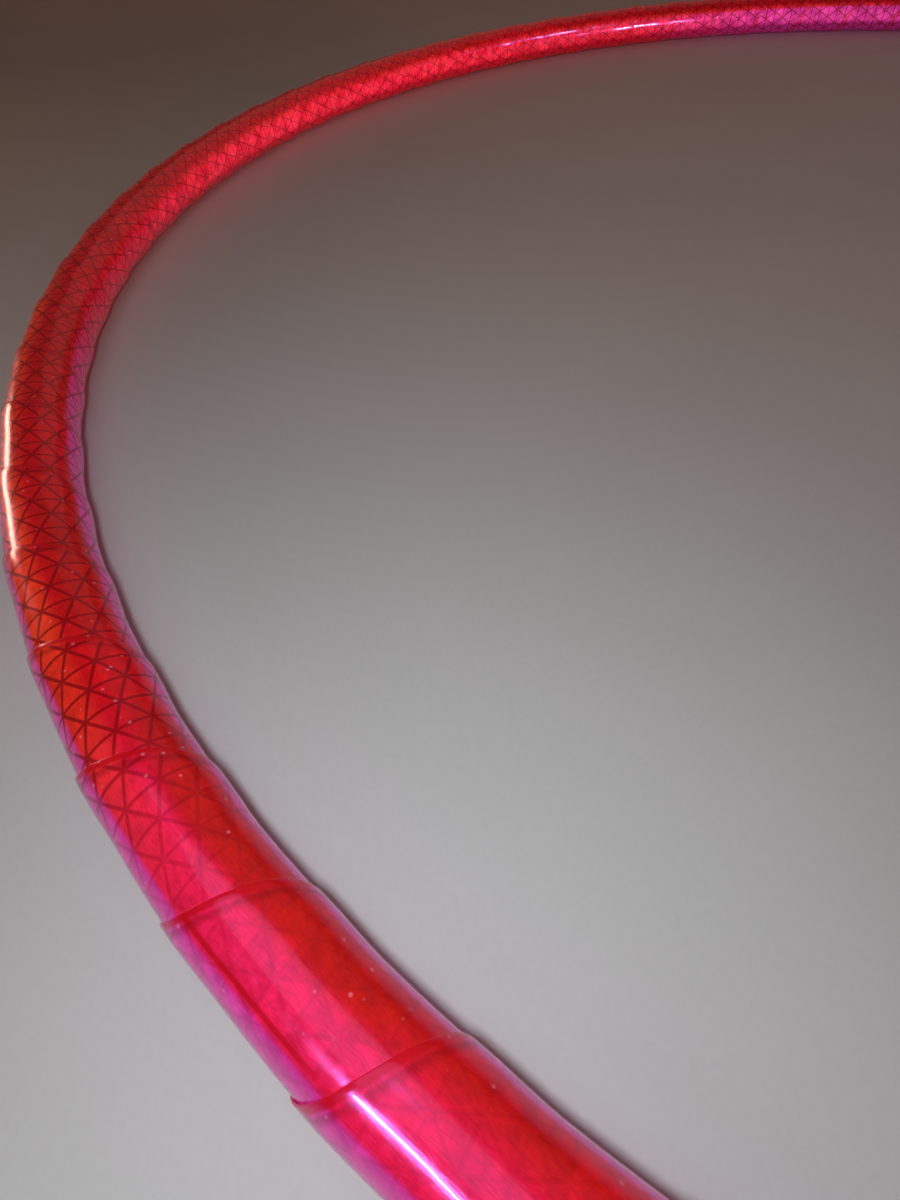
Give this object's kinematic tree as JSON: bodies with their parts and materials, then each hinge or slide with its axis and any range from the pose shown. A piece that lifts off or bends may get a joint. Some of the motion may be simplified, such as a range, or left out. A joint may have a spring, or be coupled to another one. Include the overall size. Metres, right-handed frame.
{
  "type": "rhythmic hoop",
  "caption": "Ring of plastic tube wrapped in red prismatic tape, closed at one seam by an insert with a rivet and a sprung push button.",
  "frame": {"origin": "centre of the ring, on the tube's mid plane", "axes": "+Z is the ring's axis, away from the floor it lies on and the way the button stands out; +X points from the centre to the seam"},
  "size_m": [0.5908, 0.5906, 0.0181],
  "materials": {
    "tube": "extruded polypropylene, smooth",
    "insert": "extruded polypropylene, smooth",
    "rivet": "drawn, satin",
    "mandrel": "broken end, zinc plated",
    "spring": "spring strip, rolled",
    "button": "nickel plated, polished",
    "tape": "prismatic film, glossy",
    "band": "vinyl, glossy"
  },
  "bodies": {
    "hoop": {"hoop_tube": "tube", "connector_insert": "insert", "rivet_body": "rivet", "rivet_mandrel": "mandrel", "button_spring": "spring", "prismatic_tape": "tape", "end_band_fixed": "band", "end_band_free": "band"},
    "button": {"snap_button": "button"}
  },
  "joints": [
    {"name": "button_press", "type": "slide", "parent": "hoop", "child": "button", "axis": [0, 0, -1], "range_m": [0, 0.0035], "stiffness_N_per_m": 1500, "springref_m": -0.002, "deforming": ["button_spring"]}
  ]
}
